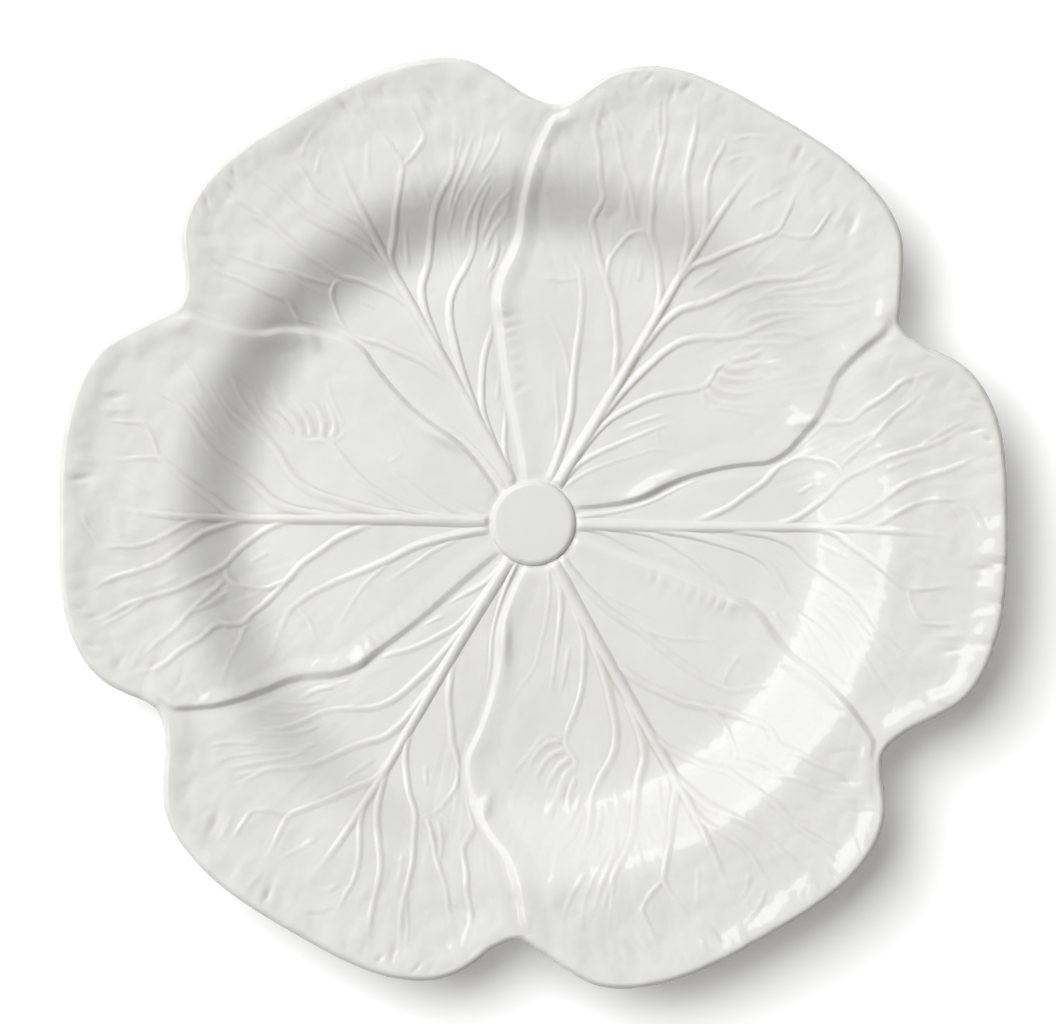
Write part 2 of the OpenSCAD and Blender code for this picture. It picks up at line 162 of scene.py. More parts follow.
def turned(p, degrees):
    """Places turned round the centre of the plate."""
    a = np.radians(degrees)
    p = np.asarray(p, float)
    return np.stack([p[..., 0] * np.cos(a) - p[..., 1] * np.sin(a),
                     p[..., 0] * np.sin(a) + p[..., 1] * np.cos(a)], axis=-1)


print("a quarter turn of +X points to", turned([1, 0], 90).round(6))

# %% [markdown]
# A leaf is drawn with its midrib pointing along +Y and the centre of the plate at the origin.
# Its places are shares of the reach, as in the CAD source. The two seams of an upper leaf are
# also the seams of the lower leaves beside it, so neighbours share them point for point.

# %% Lines of a leaf
left_seam_shares = [
    [-0.108, 0.112], [-0.150, 0.160], [-0.195, 0.212], [-0.240, 0.268], [-0.283, 0.325],
    [-0.318, 0.372], [-0.333, 0.415], [-0.337, 0.465], [-0.346, 0.515], [-0.364, 0.560],
    [-0.380, 0.610], [-0.394, 0.665], [-0.399, 0.720], [-0.398, 0.765], [-0.392, 0.795]]
right_seam_shares = [
    [0.118, 0.100], [0.152, 0.128], [0.185, 0.163], [0.212, 0.203], [0.243, 0.243],
    [0.285, 0.285], [0.333, 0.325], [0.377, 0.357], [0.400, 0.395], [0.412, 0.440],
    [0.420, 0.490], [0.419, 0.540], [0.412, 0.575], [0.418, 0.620], [0.434, 0.670],
    [0.450, 0.715], [0.460, 0.750]]
left_seam_angle, right_seam_angle = 137.5, 45
outline_shares = [
    [-0.374, 0.822], [-0.359, 0.858], [-0.338, 0.898], [-0.305, 0.934], [-0.260, 0.962],
    [-0.200, 0.984], [-0.110, 0.997], [0.000, 1.000], [0.055, 1.000], [0.110, 0.998],
    [0.200, 0.988], [0.270, 0.969], [0.330, 0.942], [0.374, 0.907], [0.400, 0.868],
    [0.421, 0.826], [0.440, 0.788]]
leaf_pitch = 60
edge_r = 1.7 * MM
edge_inset = edge_r + 0.03 * MM


def notches(upper):
    """The two ends of a leaf's outline, where its seams reach the rim."""
    if upper:
        return np.array(left_seam_shares[-1]), np.array(right_seam_shares[-1])
    return turned(right_seam_shares[-1], leaf_pitch), turned(left_seam_shares[-1], -leaf_pitch)


def outline_line(upper):
    """The outline from the left notch to the right one, and its inward direction."""
    left, right = notches(upper)
    around = np.vstack([turned(outline_shares[-2:], leaf_pitch), left, outline_shares, right,
                        turned(outline_shares[:2], -leaf_pitch)]) * reach
    steps = 16
    line = smooth_line(around, steps)
    t = np.gradient(line, axis=0)
    t /= np.linalg.norm(t, axis=1)[:, None]
    inward = np.stack([t[:, 1], -t[:, 0]], axis=1)
    keep = slice(2 * steps, (len(around) - 3) * steps + 1)
    return line[keep], inward[keep]


def seam_line(side, rim_end):
    """A seam of an upper leaf, from the boss to the place where the rim's edge begins."""
    angle = np.radians(left_seam_angle if side < 0 else right_seam_angle)
    shares = left_seam_shares if side < 0 else right_seam_shares
    start = boss_r * np.array([np.cos(angle), np.sin(angle)])
    return smooth_line(np.vstack([start, np.array(shares[:-1]) * reach, rim_end]))


upper_outline, upper_inward = outline_line(True)
left_of_upper = seam_line(-1, upper_outline[0] + upper_inward[0] * edge_inset)
right_of_upper = seam_line(1, upper_outline[-1] + upper_inward[-1] * edge_inset)
print("seams", round(runs(left_of_upper)[-1] / MM, 1), "and",
      round(runs(right_of_upper)[-1] / MM, 1), "mm long")

# %% [markdown]
# A rib of the leaf is a line with a width and a height that fade along it. For every point of the
# leaf the distance to the line is measured, and a soft bell shape stands on it. Thin curve objects
# laid on the leaf would show a hard edge at their feet. On the pressed clay the ribs flow out of
# the leaf, so they are part of its height.

# %% Distance to a line and the rib that stands on it
def nearest(p, line):
    """Distance of each point to a line, the share of its length there, and the side."""
    best = np.full(len(p), np.inf)
    share = np.zeros(len(p))
    side = np.zeros(len(p))
    s = runs(line)
    for k in range(len(line) - 1):
        a, b = line[k], line[k + 1]
        ab = b - a
        length = max(float(ab @ ab), 1e-18)
        ap = p - a
        t = np.clip((ap @ ab) / length, 0, 1)
        q = ap - t[:, None] * ab
        d = q[:, 0] ** 2 + q[:, 1] ** 2
        closer = d < best
        best = np.where(closer, d, best)
        share = np.where(closer, (s[k] + t * (s[k + 1] - s[k])) / s[-1], share)
        side = np.where(closer, np.sign(ab[0] * ap[:, 1] - ab[1] * ap[:, 0]), side)
    return np.sqrt(best), share, side


rib_scale = 0.85


def rib(p, shares, widths, heights, round_power=1.8, fade_in=0.0, fade_out=0.08, lean=1.0):
    """A raised rib: half widths and heights along it in mm. Lean widens its left flank."""
    line = smooth_line(np.array(shares) * reach, 5)
    widest = max(widths) * MM * 1.25
    low, high = line.min(0) - widest, line.max(0) + widest
    near = np.all((p > low) & (p < high), axis=1)
    out = np.zeros(len(p))
    if not near.any():
        return out
    d, s, side = nearest(p[near], line)
    w = np.interp(s, np.linspace(0, 1, len(widths)), widths) * rib_scale * MM
    h = np.interp(s, np.linspace(0, 1, len(heights)), heights) * MM
    w = np.where(side > 0, w * lean, w / lean)
    ends = ease((1 - s) / fade_out + 0.02)
    if fade_in:
        ends = ends * ease(s / fade_in + 0.02)
    out[near] = h * np.clip(1 - (d / w) ** 2, 0, 1) ** round_power * ends
    return out


print("rib widths are scaled by", rib_scale)

# %% [markdown]
# These are the ribs that show on the leaf: the midrib, the side veins with their forks and
# spurs, and finer wrinkles between them. Each vein holds its places, its half widths and its
# heights in mm, at its foot and at its tip. The lists can be edited rib by rib.

# %% Places of the ribs
midrib_shares = [
    [0.004, 0.060], [0.006, 0.140], [0.009, 0.240], [0.010, 0.340], [0.010, 0.440],
    [0.010, 0.560], [0.011, 0.650], [0.015, 0.730], [0.020, 0.800], [0.030, 0.870],
    [0.043, 0.925]]
midrib_widths = (2.4, 2.2, 1.9, 1.6, 1.3, 1.1)
midrib_heights = (1.05, 1.00, 0.90, 0.70, 0.38, 0.08)
# a lower power makes the midrib fuller than the veins
midrib_power = 1.05
veins = [
    # left side, from the boss outwards
    ([[-0.010, 0.060], [-0.018, 0.120], [-0.030, 0.180], [-0.050, 0.250], [-0.080, 0.310],
      [-0.105, 0.370], [-0.130, 0.430], [-0.160, 0.485], [-0.191, 0.520], [-0.240, 0.540],
      [-0.315, 0.570]], (2.0, 1.2), (0.80, 0.12)),
    ([[-0.085, 0.305], [-0.110, 0.335], [-0.135, 0.360], [-0.180, 0.390], [-0.230, 0.420]],
     (1.2, 0.9), (0.22, 0.08)),
    ([[0.004, 0.330], [-0.010, 0.364], [-0.034, 0.417], [-0.058, 0.450], [-0.088, 0.492],
      [-0.123, 0.523], [-0.165, 0.563], [-0.191, 0.593], [-0.213, 0.620], [-0.214, 0.640],
      [-0.213, 0.660], [-0.245, 0.705], [-0.270, 0.745], [-0.300, 0.780], [-0.315, 0.830],
      [-0.328, 0.870]], (1.5, 1.3), (0.45, 0.30)),
    ([[-0.214, 0.608], [-0.255, 0.623], [-0.300, 0.645], [-0.353, 0.660]],
     (1.1, 0.9), (0.22, 0.08)),
    ([[-0.120, 0.523], [-0.137, 0.560], [-0.134, 0.608], [-0.126, 0.635], [-0.113, 0.647],
      [-0.088, 0.648]], (1.1, 1.1), (0.22, 0.30)),
    ([[0.008, 0.500], [-0.008, 0.555], [-0.034, 0.595], [-0.062, 0.629], [-0.088, 0.652],
      [-0.113, 0.698], [-0.137, 0.745], [-0.154, 0.800], [-0.170, 0.850], [-0.198, 0.900],
      [-0.218, 0.940]], (1.5, 1.1), (0.45, 0.25)),
    ([[-0.113, 0.647], [-0.130, 0.663], [-0.150, 0.683], [-0.180, 0.717], [-0.218, 0.750],
      [-0.259, 0.800], [-0.293, 0.833]], (1.2, 1.0), (0.32, 0.20)),
    ([[-0.160, 0.815], [-0.191, 0.860], [-0.218, 0.912]], (1.1, 1.0), (0.22, 0.18)),
    ([[0.010, 0.600], [-0.002, 0.645], [-0.022, 0.698], [-0.055, 0.745], [-0.086, 0.792],
      [-0.100, 0.833], [-0.115, 0.881], [-0.137, 0.929], [-0.146, 0.956]],
     (1.6, 1.2), (0.50, 0.22)),
    ([[0.014, 0.680], [0.002, 0.725], [-0.020, 0.765], [-0.038, 0.800], [-0.049, 0.840],
      [-0.049, 0.881], [-0.055, 0.920]], (1.3, 1.1), (0.42, 0.20)),
    # right side, from the boss outwards
    ([[0.016, 0.085], [0.034, 0.130], [0.0675, 0.179], [0.116, 0.2325], [0.150, 0.267],
      [0.205, 0.291], [0.245, 0.313]], (1.1, 0.9), (0.18, 0.05)),
    ([[0.010, 0.100], [0.020, 0.150], [0.034, 0.179], [0.062, 0.220], [0.088, 0.254],
      [0.123, 0.300], [0.158, 0.342]], (1.4, 1.0), (0.45, 0.12)),
    ([[0.126, 0.310], [0.140, 0.288], [0.156, 0.270]], (1.0, 0.8), (0.15, 0.08)),
    ([[0.012, 0.150], [0.018, 0.210], [0.032, 0.267], [0.055, 0.308], [0.088, 0.356],
      [0.123, 0.390], [0.157, 0.417], [0.174, 0.437], [0.176, 0.460], [0.176, 0.486],
      [0.218, 0.506], [0.259, 0.540], [0.300, 0.557]], (1.6, 1.0), (0.55, 0.12)),
    ([[0.170, 0.427], [0.182, 0.410], [0.200, 0.393]], (1.0, 0.8), (0.20, 0.10)),
    ([[0.014, 0.230], [0.020, 0.290], [0.034, 0.360], [0.049, 0.4125], [0.0675, 0.465],
      [0.090, 0.499], [0.116, 0.520], [0.150, 0.540], [0.184, 0.567], [0.208, 0.600],
      [0.239, 0.635], [0.280, 0.663], [0.327, 0.673]], (1.9, 1.1), (0.75, 0.15)),
    ([[0.014, 0.400], [0.020, 0.450], [0.031, 0.510], [0.048, 0.550], [0.0825, 0.585],
      [0.116, 0.629], [0.150, 0.673], [0.184, 0.700], [0.221, 0.724], [0.259, 0.776],
      [0.285, 0.813], [0.302, 0.842]], (1.8, 1.1), (0.65, 0.15)),
    ([[0.150, 0.620], [0.198, 0.670], [0.252, 0.704], [0.3075, 0.748], [0.340, 0.790]],
     (1.1, 0.9), (0.16, 0.10)),
    ([[0.014, 0.590], [0.020, 0.635], [0.048, 0.670], [0.0825, 0.717], [0.116, 0.758],
      [0.138, 0.789], [0.139, 0.825], [0.134, 0.867], [0.133, 0.900]], (1.6, 1.1), (0.55, 0.20)),
    ([[0.138, 0.788], [0.184, 0.803], [0.208, 0.820], [0.213, 0.853], [0.215, 0.893]],
     (1.1, 1.1), (0.28, 0.25))]
fan = [
    [[0.176, 0.450], [0.212, 0.446], [0.250, 0.462], [0.278, 0.486]],
    [[0.178, 0.470], [0.215, 0.476], [0.250, 0.498], [0.272, 0.522]],
    [[0.180, 0.488], [0.212, 0.500], [0.240, 0.524], [0.262, 0.552]],
    [[0.186, 0.508], [0.210, 0.526], [0.232, 0.552], [0.246, 0.580]],
    [[0.172, 0.432], [0.205, 0.420], [0.245, 0.430], [0.280, 0.450]]]
wrinkles = [
    [[0.195, 0.500], [0.240, 0.528], [0.300, 0.572]], [[0.220, 0.520], [0.300, 0.555]],
    [[0.190, 0.545], [0.240, 0.580], [0.290, 0.600]],
    [[0.205, 0.575], [0.260, 0.615], [0.330, 0.640]],
    [[0.170, 0.590], [0.205, 0.630], [0.250, 0.660], [0.310, 0.690]],
    [[0.160, 0.640], [0.200, 0.685], [0.260, 0.735], [0.320, 0.790]],
    [[0.200, 0.705], [0.250, 0.750], [0.290, 0.790]],
    [[0.265, 0.690], [0.330, 0.725], [0.370, 0.760]],
    [[0.200, 0.400], [0.260, 0.425], [0.310, 0.440]],
    [[0.060, 0.260], [0.110, 0.320], [0.140, 0.350]],
    [[-0.030, 0.150], [-0.062, 0.215], [-0.100, 0.270], [-0.130, 0.320]],
    [[-0.140, 0.640], [-0.175, 0.690], [-0.190, 0.740]], [[-0.110, 0.740], [-0.135, 0.800]],
    [[-0.060, 0.560], [-0.085, 0.600]], [[-0.250, 0.460], [-0.200, 0.480], [-0.160, 0.520]],
    [[0.040, 0.600], [0.060, 0.640], [0.080, 0.680]],
    [[0.060, 0.800], [0.090, 0.850], [0.110, 0.880]],
    [[-0.030, 0.860], [0.000, 0.895], [0.030, 0.905]],
    [[-0.040, 0.910], [-0.010, 0.935], [0.030, 0.950]]]

print(len(veins), "veins,", len(fan), "fan ribs,", len(wrinkles), "wrinkles")

# %% [markdown]
# Where ribs run together, their heights must not add up to a lump. Their fourth powers are added
# and the fourth root is taken, which is a soft form of the highest one.

# %% Ribs of a leaf
def leaf_ribs(p):
    """Height of all ribs on a leaf. Where two run together the higher one carries on."""
    total = rib(p, midrib_shares, midrib_widths, midrib_heights, midrib_power, fade_out=0.2,
                lean=1.12) ** 4
    for shares, (w0, w1), (h0, h1) in veins:
        # a vein loses most of its height near its foot
        falling = [h1 + (0.98 * h0 - h1) * (1 - s) ** 1.4 for s in np.linspace(0, 1, 7)]
        lean = 1.35 if shares[-1][0] > 0 and h0 > 0.5 else 1.0
        total += rib(p, shares, (w0, w1), falling, fade_in=0.10, fade_out=0.2, lean=lean) ** 4
    for shares in wrinkles:
        total += rib(p, shares, (1.2, 1.0), (0.19, 0.13), fade_in=0.2, fade_out=0.3) ** 4
    for shares in fan:
        total += rib(p, shares, (1.35, 1.2), (0.30, 0.16), fade_in=0.15, fade_out=0.4) ** 4
    return total ** 0.25


on_midrib = np.array([[0.009, 0.240]]) * reach
print("the midrib is", round(float(leaf_ribs(on_midrib)[0]) / MM, 2), "mm high near its foot")

# %% [markdown]
# Near the rim the leaf puckers: short dimples run towards the edge. A dimple with a negative depth
# is a small swelling. Each is a soft oval bell, so it has no edge that would catch the light.

# %% Puckers
puckers = [
    # place, direction in degrees, half length and half width in mm, depth in mm
    (-0.345, 0.850, 75, 3.2, 1.3, 0.46), (-0.316, 0.905, 62, 3.0, 1.4, 0.45),
    (-0.284, 0.930, 85, 2.8, 1.0, 0.40), (-0.255, 0.940, 80, 3.2, 0.9, 0.40),
    (-0.197, 0.930, 105, 2.8, 0.9, 0.25), (-0.177, 0.962, 80, 3.4, 1.2, 0.35),
    (-0.140, 0.965, 100, 2.8, 1.1, 0.15), (-0.105, 0.975, 80, 2.6, 1.1, 0.14),
    (-0.012, 0.940, 32, 4.2, 1.0, 0.12), (-0.010, 0.890, 30, 3.6, 1.0, 0.10),
    (0.094, 0.955, 97, 4.6, 1.3, 0.44), (0.132, 0.945, 75, 3.0, 1.1, -0.25),
    (0.180, 0.950, 95, 3.2, 1.2, 0.12),
    (0.238, 0.880, 90, 4.0, 1.2, -0.28), (0.267, 0.878, 98, 4.2, 1.5, 0.42),
    (0.320, 0.900, 70, 3.4, 1.4, 0.12), (0.345, 0.860, 80, 3.4, 1.4, 0.12),
    (-0.365, 0.705, 50, 2.2, 1.2, 0.15), (-0.180, 0.650, 80, 4.6, 1.8, 0.18),
    (-0.080, 0.860, 90, 4.0, 1.4, -0.18),
    (0.312, 0.400, 80, 3.2, 1.3, 0.14), (0.345, 0.490, 80, 3.0, 1.3, 0.14),
    (0.180, 0.189, 59, 8.0, 2.0, -1.10), (0.390, 0.472, 40, 4.4, 2.0, -0.80),
    (-0.290, 0.362, 140, 3.4, 2.4, -0.62),
    (-0.300, 0.800, 152, 5.0, 1.0, 0.16), (-0.285, 0.835, 150, 5.5, 1.0, -0.15),
    (-0.290, 0.868, 148, 5.0, 1.1, 0.16), (-0.330, 0.745, 155, 4.5, 1.0, 0.13)]


def dimple(p, x, y, degrees, half_l, half_w, depth):
    """An oval hollow, or a swelling if the depth is negative."""
    q = turned(p - np.array([x, y]) * reach, -degrees)
    e = (q[:, 0] / (half_l * MM)) ** 2 + (q[:, 1] / (half_w * MM)) ** 2
    return -depth * MM * np.exp(-e * 1.3)


print(len(puckers), "puckers")

# %% [markdown]
# The whole surface also swells and sinks a little, as hand-moulded clay does. That comes from a
# smooth noise field: a seeded grid of random heights with a soft blend between them. A Displace
# modifier with a noise texture would do too, but then the seams of neighbours might part.

# %% Gentle unevenness
def noise_field(p, cell, seed):
    """Smooth random heights from -1 to 1, with features about two cells wide."""
    n = 96
    grid = np.random.default_rng(seed).uniform(-1, 1, (n, n))
    q = p / cell + n / 2
    i = np.floor(q).astype(int)
    f = q - i
    f = f * f * f * (10 - 15 * f + 6 * f * f)
    a, b = i[:, 0] % n, i[:, 1] % n
    c, d = (a + 1) % n, (b + 1) % n
    low = grid[a, b] * (1 - f[:, 0]) + grid[c, b] * f[:, 0]
    high = grid[a, d] * (1 - f[:, 0]) + grid[c, d] * f[:, 0]
    return low * (1 - f[:, 1]) + high * f[:, 1]


# height in mm everywhere, more of it on the rim, cell in mm and seed
uneven_layers = [(0.17, 0, 17, 3), (0.048, 0.125, 5.5, 7), (0.018, 0.040, 2.6, 11)]
# where the rim's greater unevenness begins, and over what way it grows to its full height
uneven_rim_r, uneven_rim_w = 96 * MM, 16 * MM
# cells to a radian of turn, length of a cell in mm, seed and height in mm
streak_layers = [(50, 13, 29, 0.045), (24, 22, 31, 0.070)]


def unevenness(p):
    """Height of the gentle unevenness at places on the plate, in metres."""
    r = np.linalg.norm(p, axis=1)
    rim = ease((r - uneven_rim_r) / uneven_rim_w)
    return MM * sum((height + on_rim * rim) * noise_field(p, cell * MM, seed)
                    for height, on_rim, cell, seed in uneven_layers)


def streaks(p):
    """Fine streaks that fan outwards beside the veins, from a place on the midrib."""
    fan_foot = 0.25 * reach
    x, y = p[:, 0], p[:, 1] - fan_foot
    turn, run = np.arctan2(x, y), np.hypot(x, y)
    strong = ease((np.abs(x) / reach - 0.03) / 0.12) * ease((y / reach - 0.10) / 0.25)
    return MM * strong * sum(
        height * noise_field(np.stack([turn * cells, run / (length * MM)], 1), 1, seed)
        for cells, length, seed, height in streak_layers)


sample = np.random.default_rng(1).uniform(-reach, reach, (2000, 2)) * 0.7
print("unevenness up to", round(float(np.abs(unevenness(sample)).max()) / MM, 2), "mm")

# %% [markdown]
# The edge of an upper leaf is a rolled lip that lies on its neighbours. Its outer side drops
# steeply to a crease, and its inner side falls softly into a shallow valley. The left lip is
# the broader one. The crease is cut into both leaves, so they meet in it at the same height. On
# the real plate the glaze has rounded the crease, so it is a soft groove and not a sharp step.

# %% Lips and creases
def table(s, pairs):
    """A value looked up between pairs of a place and a value."""
    return np.interp(s, [a for a, _ in pairs], [b for _, b in pairs])


# pairs of a share of the lip's length and a size in mm there
left_crest_mm = [(0, 2.2), (0.15, 2.6), (0.33, 2.3), (0.45, 2.7), (0.62, 2.9), (0.75, 2.4),
                 (1, 2.1)]
left_valley_mm = [(0, 7.0), (0.15, 9.0), (0.5, 8.6), (0.62, 8.0), (0.75, 6.6), (1, 5.8)]
left_height_mm = [(0, 0.5), (0.1, 0.62), (0.3, 0.70), (0.42, 1.00), (0.52, 1.15), (0.8, 1.10),
                  (0.93, 0.95), (1, 0.7)]
right_crest_mm = [(0, 1.8), (0.1, 2.0), (0.5, 1.9), (0.68, 2.5), (1, 2.8)]
right_valley_mm = [(0, 7.0), (0.2, 8.0), (1, 9.5)]
right_height_mm = [(0, 0.6), (0.08, 1.0), (0.5, 1.15), (0.7, 1.0), (0.9, 1.05), (1, 0.8)]
# how high the leaf still is behind the lip, as a share of the lip's height
left_valley_share, right_valley_share = 0.35, 0.55
crease_depth = 0.24 * MM
crease_w = 1.6 * MM
lip_start = 0.5 * MM
lip_tail = 16 * MM
crimp_h = 0.09 * MM
crimp_pitch = 3.6 * MM


def lip(d, s, crest_mm, valley_mm, height_mm, valley_share):
    """Height of a lip at distance d inside the seam and share s along it."""
    crest, valley, h = table(s, crest_mm) * MM, table(s, valley_mm) * MM, table(s, height_mm) * MM
    t = (d - lip_start) / (crest - lip_start)
    outer = h * (0.6 * np.clip(t, 0, 1) + 0.4 * ease(t))
    inner = h * (valley_share + (1 - valley_share) * ease((valley - d) / (valley - crest)))
    rest = h * valley_share * (1 - ease((d - valley) / lip_tail))
    return np.where(d < crest, outer, np.where(d < valley, inner, rest))


def crimps(p, d, s):
    """Small crimps across the broad part of the left lip."""
    along_lip = p[:, 1] * 0.8 - p[:, 0] * 0.6
    broad_part = ease((s - 0.18) / 0.08) * ease((0.50 - s) / 0.08)
    behind_crest = np.exp(-((d - 4.5 * MM) / (2.0 * MM)) ** 2)
    wander = noise_field(p, 6 * MM, 37)
    waves = np.sin(2 * np.pi * along_lip / crimp_pitch + 2.2 * wander)
    return crimp_h * broad_part * behind_crest * (1 + 0.5 * wander) * waves


def crease(d):
    """The groove at a seam, at distance d from it."""
    return -crease_depth * np.exp(-(d / crease_w) ** 2)


print("lips up to", max(h for _, h in left_height_mm + right_height_mm), "mm high")

# %% [markdown]
# The rim's edge curls up, as a leaf's edge does. The curl is stronger in some places than in
# others, so that a lamp glints on it in broken patches. A Simple Deform modifier would bend it
# evenly, but here its strength is looked up by the direction round the plate.

# %% Curl of the rim's edge
curl_from = 10 * MM
curl_to = 2.2 * MM
curl_share = 0.62
# under the curl lies a broader rise that is the same all round
gentle_from, gentle_w = 17 * MM, 15 * MM
gentle_share = 0.22
# strength of the curl round the plate: direction in degrees and share
curl_places = [
    (-180, 0.62), (-75, 0.50), (-67.5, 0.45), (-65.5, 0.90), (-63.5, 0.90), (-62.3, 0.45),
    (-60.3, 0.96), (-52, 0.98), (-50.6, 0.45), (-49.6, 0.50), (-48.3, 0.98), (-40, 1.00),
    (-38, 0.32), (-31.5, 0.30), (-29.5, 0.95), (-25.5, 1.00), (-24.3, 0.45), (-23.2, 1.00),
    (-16, 1.00), (-15, 0.45), (-14, 0.98), (-11.3, 0.96), (-9.8, 0.35), (-8.6, 0.95),
    (-6, 0.93), (-5, 0.35), (-3.9, 0.98), (-0.6, 0.92), (1, 0.40), (26, 0.45), (31, 0.95),
    (36, 0.50), (180, 0.62)]


def curl(p, degrees, d):
    """Height of the curl at distance d inside the plate's outline."""
    q = turned(p, degrees)
    around = np.degrees(np.arctan2(q[:, 1], q[:, 0]))
    wave = noise_field(q, 5 * MM, 19)
    wave2 = noise_field(q, 14 * MM, 23)
    strength = table(around, curl_places) + 0.05 * wave + 0.06 * wave2
    begin = curl_from + MM * (1.5 * wave2 + 1.1 * wave)
    roll = ease((begin - d) / (begin - curl_to)) * np.clip(strength, 0, 1)
    gentle = ease((gentle_from - d) / gentle_w)
    return edge_curl * (curl_share * roll + gentle_share * gentle)


print("the curl changes its strength at", len(curl_places), "places")

# %% [markdown]
# Each leaf starts as a flat grid from bmesh. Its four sides are laid on the leaf's two seams, on
# the hub and on the outline, and the inside follows them, as a cloth that is pulled at its four
# sides. Then every point gets its height. A grid keeps even squares all over the leaf, which a
# filled outline would not, and glossy glaze shows every uneven face.

# %% Grid of a leaf laid between its seams
seam_rows, shoulder_rows = 200, 50
shoulder_left, shoulder_right = 0.15, 0.20


class LeafPlan:
    """The flat plan of one leaf: a grid of places with its four sides."""

    def __init__(self, upper, columns):
        self.upper, self.columns = upper, columns
        self.rows = seam_rows + shoulder_rows
        if upper:
            left, right = left_of_upper, right_of_upper
        else:
            left, right = turned(right_of_upper, leaf_pitch), turned(left_of_upper, -leaf_pitch)
        self.left_seam, self.right_seam = left, right
        u = np.linspace(0, 1, columns + 1)
        # the outer columns lie a little closer together
        self.u = u - 0.05 * np.sin(2 * np.pi * u) / (2 * np.pi)
        self.lay_sides()
        self.fill()

    def lay_sides(self):
        """The four sides. Each row of a side holds a place and its direction outwards."""
        left, right = self.left_seam, self.right_seam
        outline, inward = outline_line(self.upper)
        rim = np.hstack([outline + inward * edge_inset, -inward])
        # a seam and a shoulder, which is the outline's part next to the notch, make one side
        self.top = along(rim, shoulder_left + (1 - shoulder_left - shoulder_right) * self.u)
        up_left = along(rim, np.linspace(0, shoulder_left, shoulder_rows + 1))[1:]
        up_right = along(rim, np.linspace(1, 1 - shoulder_right, shoulder_rows + 1))[1:]
        even = np.linspace(0, 1, seam_rows + 1)
        no_way_out = np.zeros((seam_rows + 1, 2))
        self.left = np.vstack([np.hstack([along(left, even), no_way_out]), up_left])
        self.right = np.vstack([np.hstack([along(right, even), no_way_out]), up_right])
        self.left[seam_rows, 2:] = rim[0, 2:]
        self.right[seam_rows, 2:] = rim[-1, 2:]
        a, b = np.arctan2(left[0, 1], left[0, 0]), np.arctan2(right[0, 1], right[0, 0])
        hub = a + (b - a) * self.u
        hub_places = boss_r * np.stack([np.cos(hub), np.sin(hub)], 1)
        self.bottom = np.hstack([hub_places, np.zeros((self.columns + 1, 2))])

    def fill(self):
        """The places inside the four sides."""
        v = np.linspace(0, 1, self.rows + 1)[:, None, None]
        s = self.u[None, :, None]
        L, R = self.left[:, None, :2], self.right[:, None, :2]
        B, T = self.bottom[None, :, :2], self.top[None, :, :2]
        # the bend of the hub and of the outline dies away towards the middle of the leaf
        hub_bend = B - (1 - s) * B[:, :1] - s * B[:, -1:]
        outline_bend = T - (1 - s) * T[:, :1] - s * T[:, -1:]
        self.grid = (1 - s) * L + s * R + (1 - v) ** 4 * hub_bend + v ** 4 * outline_bend
        g = self.grid
        du, dv = np.diff(g, axis=1)[:-1], np.diff(g, axis=0)[:, :-1]
        area = du[..., 0] * dv[..., 1] - du[..., 1] * dv[..., 0]
        print("upper" if self.upper else "lower", "leaf grid", g.shape[:2], "folded cells",
              int((area <= 0).sum()))

    def outward(self, row, column):
        """Direction out of the plate at a place on the grid's edge, or nothing at a seam."""
        if row == self.rows:
            return self.top[column, 2:]
        if column == 0:
            return self.left[row, 2:]
        if column == self.columns:
            return self.right[row, 2:]
        return self.bottom[column, 2:]


plans = {True: LeafPlan(True, 320), False: LeafPlan(False, 280)}

# %% [markdown]
# The heights of a leaf are the same on all three upper leaves, and on all three lower ones, as
# they come from one pattern. Only the unevenness and the curl differ from place to place.

# %% Heights of a leaf
def outline_near(upper):
    """The outline of a leaf and of a stretch of its two neighbours."""
    own = outline_line(upper)[0][::6]
    other = outline_line(not upper)[0][::6]
    return np.vstack([turned(other, leaf_pitch), own, turned(other, -leaf_pitch)])


def leaf_relief(upper, p):
    """Relief at places on a leaf, and their distances to the outline and to the nearer seam."""
    plan = plans[upper]
    d_left, s_left, _ = nearest(p, plan.left_seam[::2])
    d_right, s_right, _ = nearest(p, plan.right_seam[::2])
    relief = leaf_ribs(p) + streaks(p)
    for one in puckers:
        relief += dimple(p, *one)
    # all of it dies away at the seams, at the rim's edge and under the edge of the boss
    at_seam = np.minimum(d_left, d_right)
    d_edge, _, _ = nearest(p, outline_near(upper))
    r = np.linalg.norm(p, axis=1)
    relief *= ease(at_seam / (1.4 * MM))
    relief *= ease((d_edge - 1.2 * MM) / (4 * MM))
    relief *= ease((r - boss_r) / (2.2 * MM))
    z = relief + crease(at_seam)
    if upper:
        rim = ease((d_edge - 1.0 * MM) / (5 * MM)) * ease((r - boss_r) / (3 * MM))
        z += rim * np.maximum(
            lip(d_left, s_left, left_crest_mm, left_valley_mm, left_height_mm,
                left_valley_share),
            lip(d_right, s_right, right_crest_mm, right_valley_mm, right_height_mm,
                right_valley_share))
        z += crimps(p, d_left, s_left)
    return z, d_edge, at_seam


# the hollows mask where the glaze is painted darker: painted shade in the creases and beside the
# ribs
def hollows(z):
    """How far each place of the grid lies under the mean of its surroundings, from 0 to 1."""
    mean = z.copy()
    for axis in (0, 1):
        for _ in range(2):
            padded = np.pad(mean, [(2, 2) if a == axis else (0, 0) for a in (0, 1)], mode="edge")
            shifted = [np.take(padded, range(k, k + z.shape[axis]), axis=axis) for k in range(5)]
            mean = sum(shifted) / 5
    shallow, deep = 0.045 * MM, 0.195 * MM
    return np.clip((mean - z - shallow) / (deep - shallow), 0, 1)


